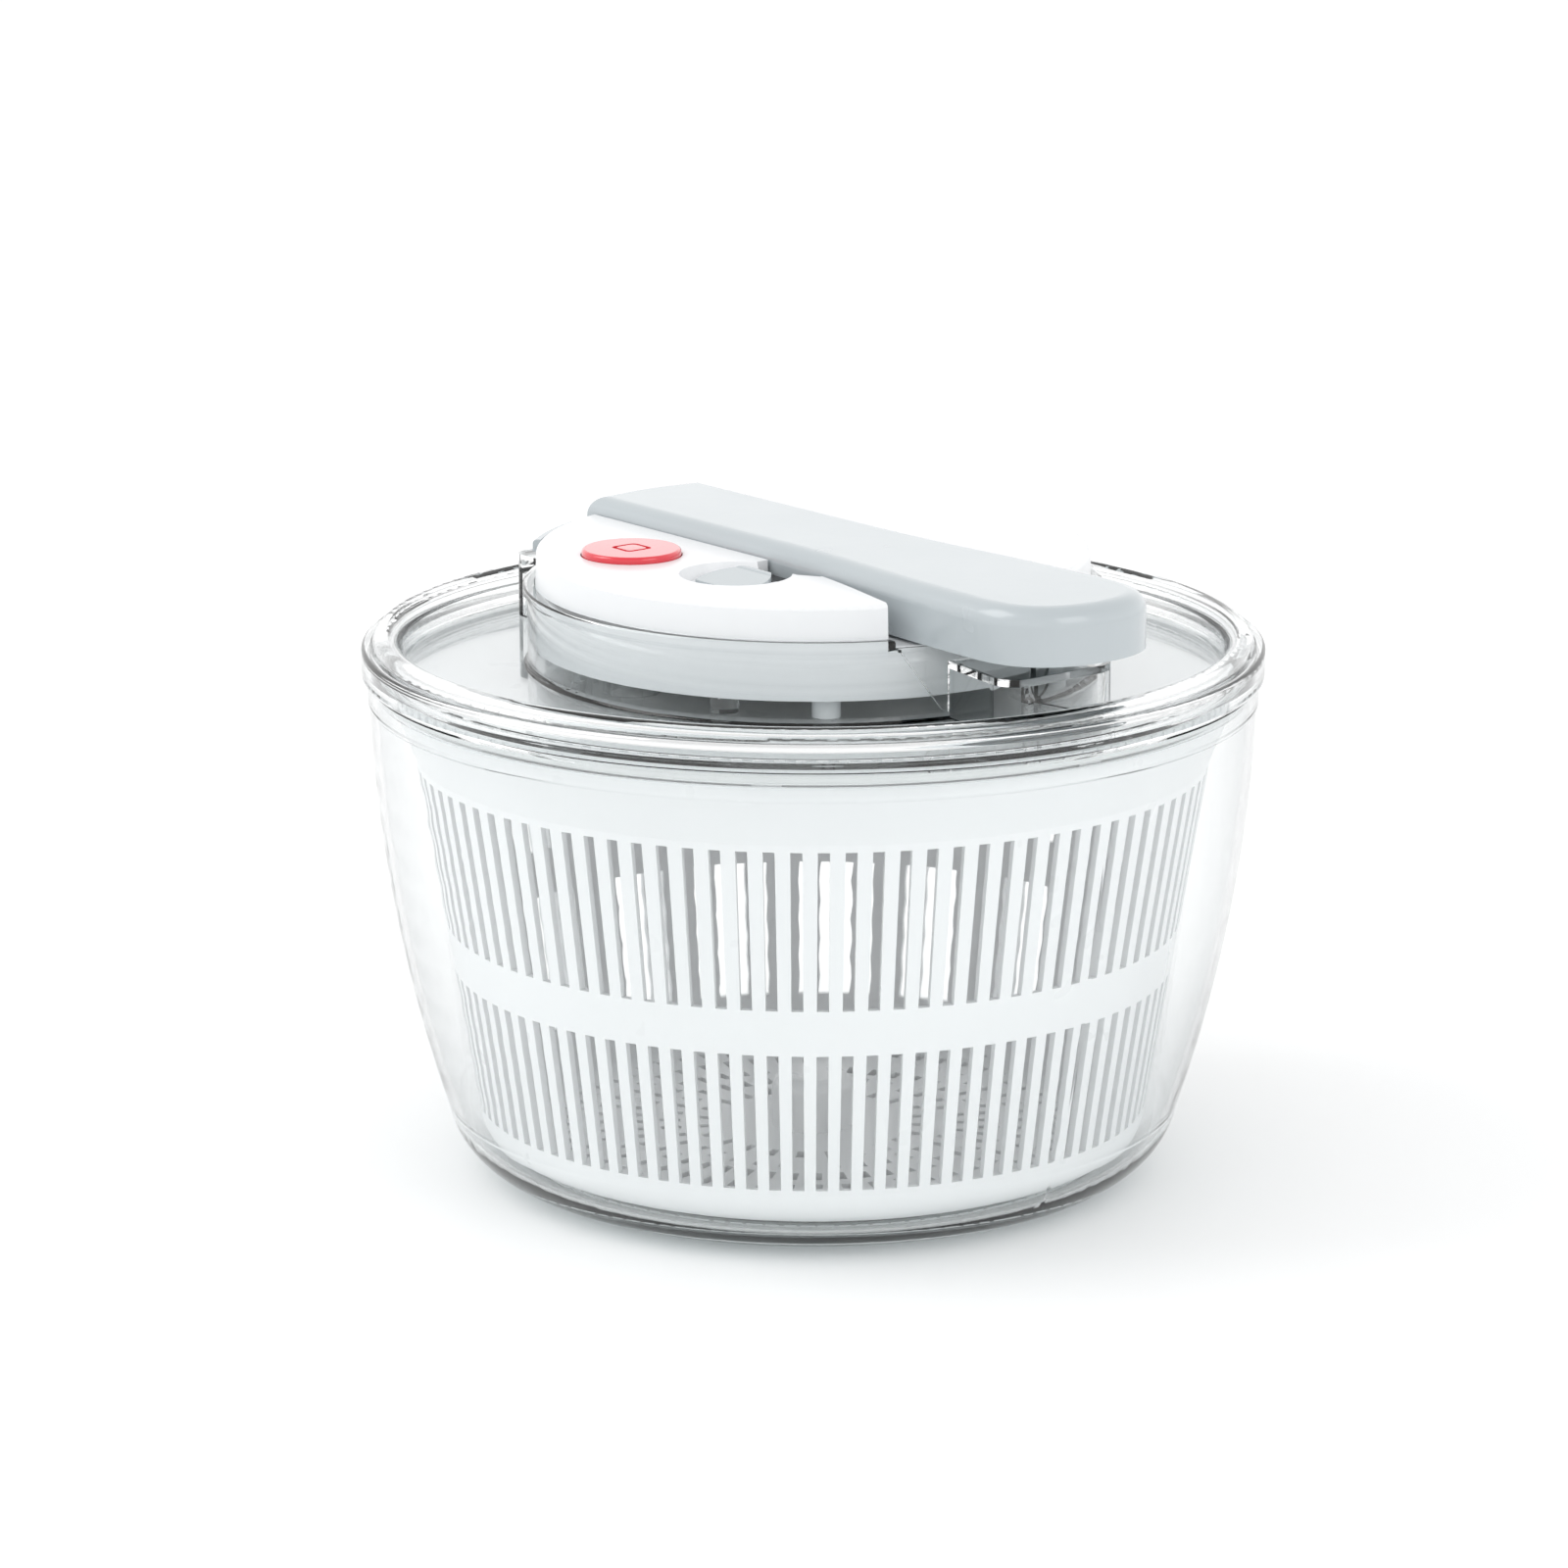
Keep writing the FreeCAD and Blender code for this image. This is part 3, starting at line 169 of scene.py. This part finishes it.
def clear_plastic(name, tint, painted_edge_shade, rough):
    """Clear styrene: a refracting wall whose colour is painted darker where it is seen edge on, a
    painted shade standing in for dark refracted edges, with faint flow marks.

    Shadow and diffuse rays pass as through a thin tinted sheet, so light reaches what is inside.
    """
    m = Material(name)
    bsdf = m.principled(IOR=1.45, Transmission_Weight=1.0)
    tone = m.drift(m.noise(9.0, 3.0), [0.985 * c for c in tint], tint)
    # painted shade: the wall's colour turns dark grey where it is seen edge on, standing in for dark
    # refracted edges
    m.link(m.blend(m.edge_on(0.28), tone, painted_edge_shade), bsdf.inputs["Base Color"])
    m.link(m.remap(m.noise(60.0, 3.0), rough * 0.6, rough * 1.4), bsdf.inputs["Roughness"])
    m.link(m.bump(m.noise(30.0, 2.0), 0.02, 0.0004), bsdf.inputs["Normal"])
    shade = m.add("ShaderNodeBsdfTransparent")
    m.link(m.blend(m.facing(0.3), (0.96, 0.97, 0.97), (0.62, 0.66, 0.67)), shade.inputs["Color"])
    path = m.add("ShaderNodeLightPath")
    either = m.add("ShaderNodeMath", operation="MAXIMUM")
    m.link(path.outputs["Is Shadow Ray"], either.inputs[0])
    m.link(path.outputs["Is Diffuse Ray"], either.inputs[1])
    mix = m.add("ShaderNodeMixShader")
    m.link(either.outputs["Value"], mix.inputs["Fac"])
    m.link(bsdf.outputs["BSDF"], mix.inputs[1])
    m.link(shade.outputs["BSDF"], mix.inputs[2])
    return m.show(mix.outputs["Shader"])


def metal(name, colour, shade, roughness):
    """Bright steel wire or pin with fine drawing marks."""
    m = Material(name)
    bsdf = m.principled(Metallic=1.0)
    tone = m.add("ShaderNodeValToRGB")
    m.link(m.noise(260.0), tone.inputs["Fac"])
    set_stops(tone, [(0.35, shade), (0.65, colour)])
    m.link(tone.outputs["Color"], bsdf.inputs["Base Color"])
    m.link(m.remap(m.noise(500.0, 2.0), roughness * 0.7, roughness * 1.3), bsdf.inputs["Roughness"])
    return m.show(bsdf.outputs["BSDF"])


def rubber(name, colour, shade):
    """Matte silicone with a fine grain."""
    m = Material(name)
    bsdf = m.principled(IOR=1.41, Specular_IOR_Level=0.35)
    m.link(m.drift(m.noise(120.0, 3.0), shade, colour), bsdf.inputs["Base Color"])
    m.link(m.remap(m.noise(300.0, 2.0), 0.5, 0.68), bsdf.inputs["Roughness"])
    m.link(m.bump(m.noise(900.0, 2.0), 0.1, 0.0002), bsdf.inputs["Normal"])
    return m.show(bsdf.outputs["BSDF"])


MATERIALS = {
    # the second colour is the painted edge shade of the clear walls
    "clear_plastic": clear_plastic("clear_plastic_look", (0.985, 0.99, 0.99), (0.42, 0.46, 0.48),
                                   0.02),
    "white_plastic": moulded("white_plastic_look", (0.90, 0.905, 0.91), (0.885, 0.89, 0.90), 0.30,
                             coat=0.2),
    # painted shade: the cover's white is a darker copy of white_plastic
    "cover_white_painted_shade": moulded("cover_white_look", (0.80, 0.81, 0.82), (0.785, 0.795, 0.81), 0.32, coat=0.2),
    "lever_grey": moulded("lever_grey_look", (0.43, 0.47, 0.49), (0.415, 0.455, 0.475), 0.24, coat=0.5),
    "stop_red": moulded("stop_red_look", (0.74, 0.02, 0.04), (0.64, 0.012, 0.03), 0.15, coat=0.8),
    "black_plastic": moulded("black_plastic_look", (0.022, 0.023, 0.025), (0.014, 0.015, 0.017), 0.4),
    "soft_rubber": rubber("soft_rubber_look", (0.80, 0.81, 0.81), (0.75, 0.76, 0.76)),
    "steel": metal("steel_look", (0.66, 0.66, 0.68), (0.55, 0.55, 0.57), 0.24),
    "bearing_white": moulded("bearing_white_look", (0.86, 0.86, 0.85), (0.83, 0.83, 0.82), 0.42),
    "gear_nylon": moulded("gear_nylon_look", (0.82, 0.81, 0.77), (0.79, 0.78, 0.74), 0.45),
}


def dress(node, material):
    """Give every slot of a mesh this material."""
    slots = node.data.materials
    if not slots:
        slots.append(material)
    for i in range(len(slots)):
        slots[i] = material


slot_of = {part["node"]: part["material_slot"] for part in frame["record"]["subparts"]}
slot_of["mechanism_cover"] = "cover_white_painted_shade"      # painted shade: a darker copy of the basket's white plastic, so the cover's edge shows
for node_name, node in NODES.items():
    dress(node, MATERIALS[slot_of[node_name]])


# ---- stage ---------------------------------------------------------------------------------
def floor():
    mesh = bpy.data.meshes.new("floor")
    corners = [(-1, -1), (1, -1), (1, 1), (-1, 1)]
    mesh.from_pydata([(x * FLOOR_HALF, y * FLOOR_HALF, 0) for x, y in corners], [], [(0, 1, 2, 3)])
    obj = bpy.data.objects.new("floor", mesh)
    bpy.context.scene.collection.objects.link(obj)
    m = Material("floor_look")
    bsdf = m.principled(Roughness=0.6, Specular_IOR_Level=0.2)
    m.link(m.drift(m.noise(3.0), (0.97, 0.97, 0.97), (0.98, 0.98, 0.98)), bsdf.inputs["Base Color"])
    dress(obj, m.show(bsdf.outputs["BSDF"]))
    obj.location.z = cad_low.z - FLOOR_DROP


def area_light(name, place, size, power):
    """A square softbox that faces the spinner."""
    data = bpy.data.lights.new(name, "AREA")
    data.shape = "RECTANGLE"
    data.size = size
    data.size_y = size
    data.energy = power
    obj = bpy.data.objects.new(name, data)
    bpy.context.scene.collection.objects.link(obj)
    obj.location = place
    obj.rotation_euler = (Vector(LIGHT_TARGET) - Vector(place)).to_track_quat("-Z", "Y").to_euler()


def world():
    """White studio: the camera sees plain white, and the light is brighter low down than above."""
    w = bpy.data.worlds.new("studio")
    w.use_nodes = True
    tree = w.node_tree
    place = tree.nodes.new("ShaderNodeTexCoord")
    split = tree.nodes.new("ShaderNodeSeparateXYZ")
    tree.links.new(place.outputs["Generated"], split.inputs["Vector"])
    levels = tree.nodes.new("ShaderNodeValToRGB")
    tree.links.new(split.outputs["Z"], levels.inputs["Fac"])
    set_stops(levels, [(at, (level, level, level)) for at, level in WORLD_LEVELS])
    path = tree.nodes.new("ShaderNodeLightPath")
    mix = tree.nodes.new("ShaderNodeMix")
    mix.data_type = "RGBA"
    tree.links.new(path.outputs["Is Camera Ray"], mix.inputs["Factor"])
    tree.links.new(levels.outputs["Color"], mix.inputs[MIX_FIRST])
    mix.inputs[MIX_SECOND].default_value = (1.0, 1.0, 1.0, 1.0)
    back = tree.nodes["Background"]
    tree.links.new(mix.outputs[MIX_RESULT], back.inputs["Color"])
    back.inputs["Strength"].default_value = 1.0
    bpy.context.scene.world = w


def camera():
    azimuth = math.radians(CAMERA_AZIMUTH)
    towards = Vector((math.sin(azimuth), -math.cos(azimuth), 0))
    left = Vector((-math.cos(azimuth), -math.sin(azimuth), 0))
    data = bpy.data.cameras.new("camera")
    data.lens = CAMERA_LENS
    data.clip_end = 100
    obj = bpy.data.objects.new("camera", data)
    bpy.context.scene.collection.objects.link(obj)
    aim = left * AIM_LEFT + Vector((0, 0, AIM_HEIGHT))
    obj.location = towards * CAMERA_DISTANCE + Vector((0, 0, CAMERA_HEIGHT))
    obj.rotation_euler = (aim - obj.location).to_track_quat("-Z", "Y").to_euler()
    bpy.context.scene.camera = obj


floor()
world()
camera()
area_light("key", (-0.9, -1.2, 1.6), 1.2, 12)
area_light("fill", (1.6, 0.2, 1.2), 1.0, 5)
bpy.context.scene.view_settings.view_transform = "Standard"
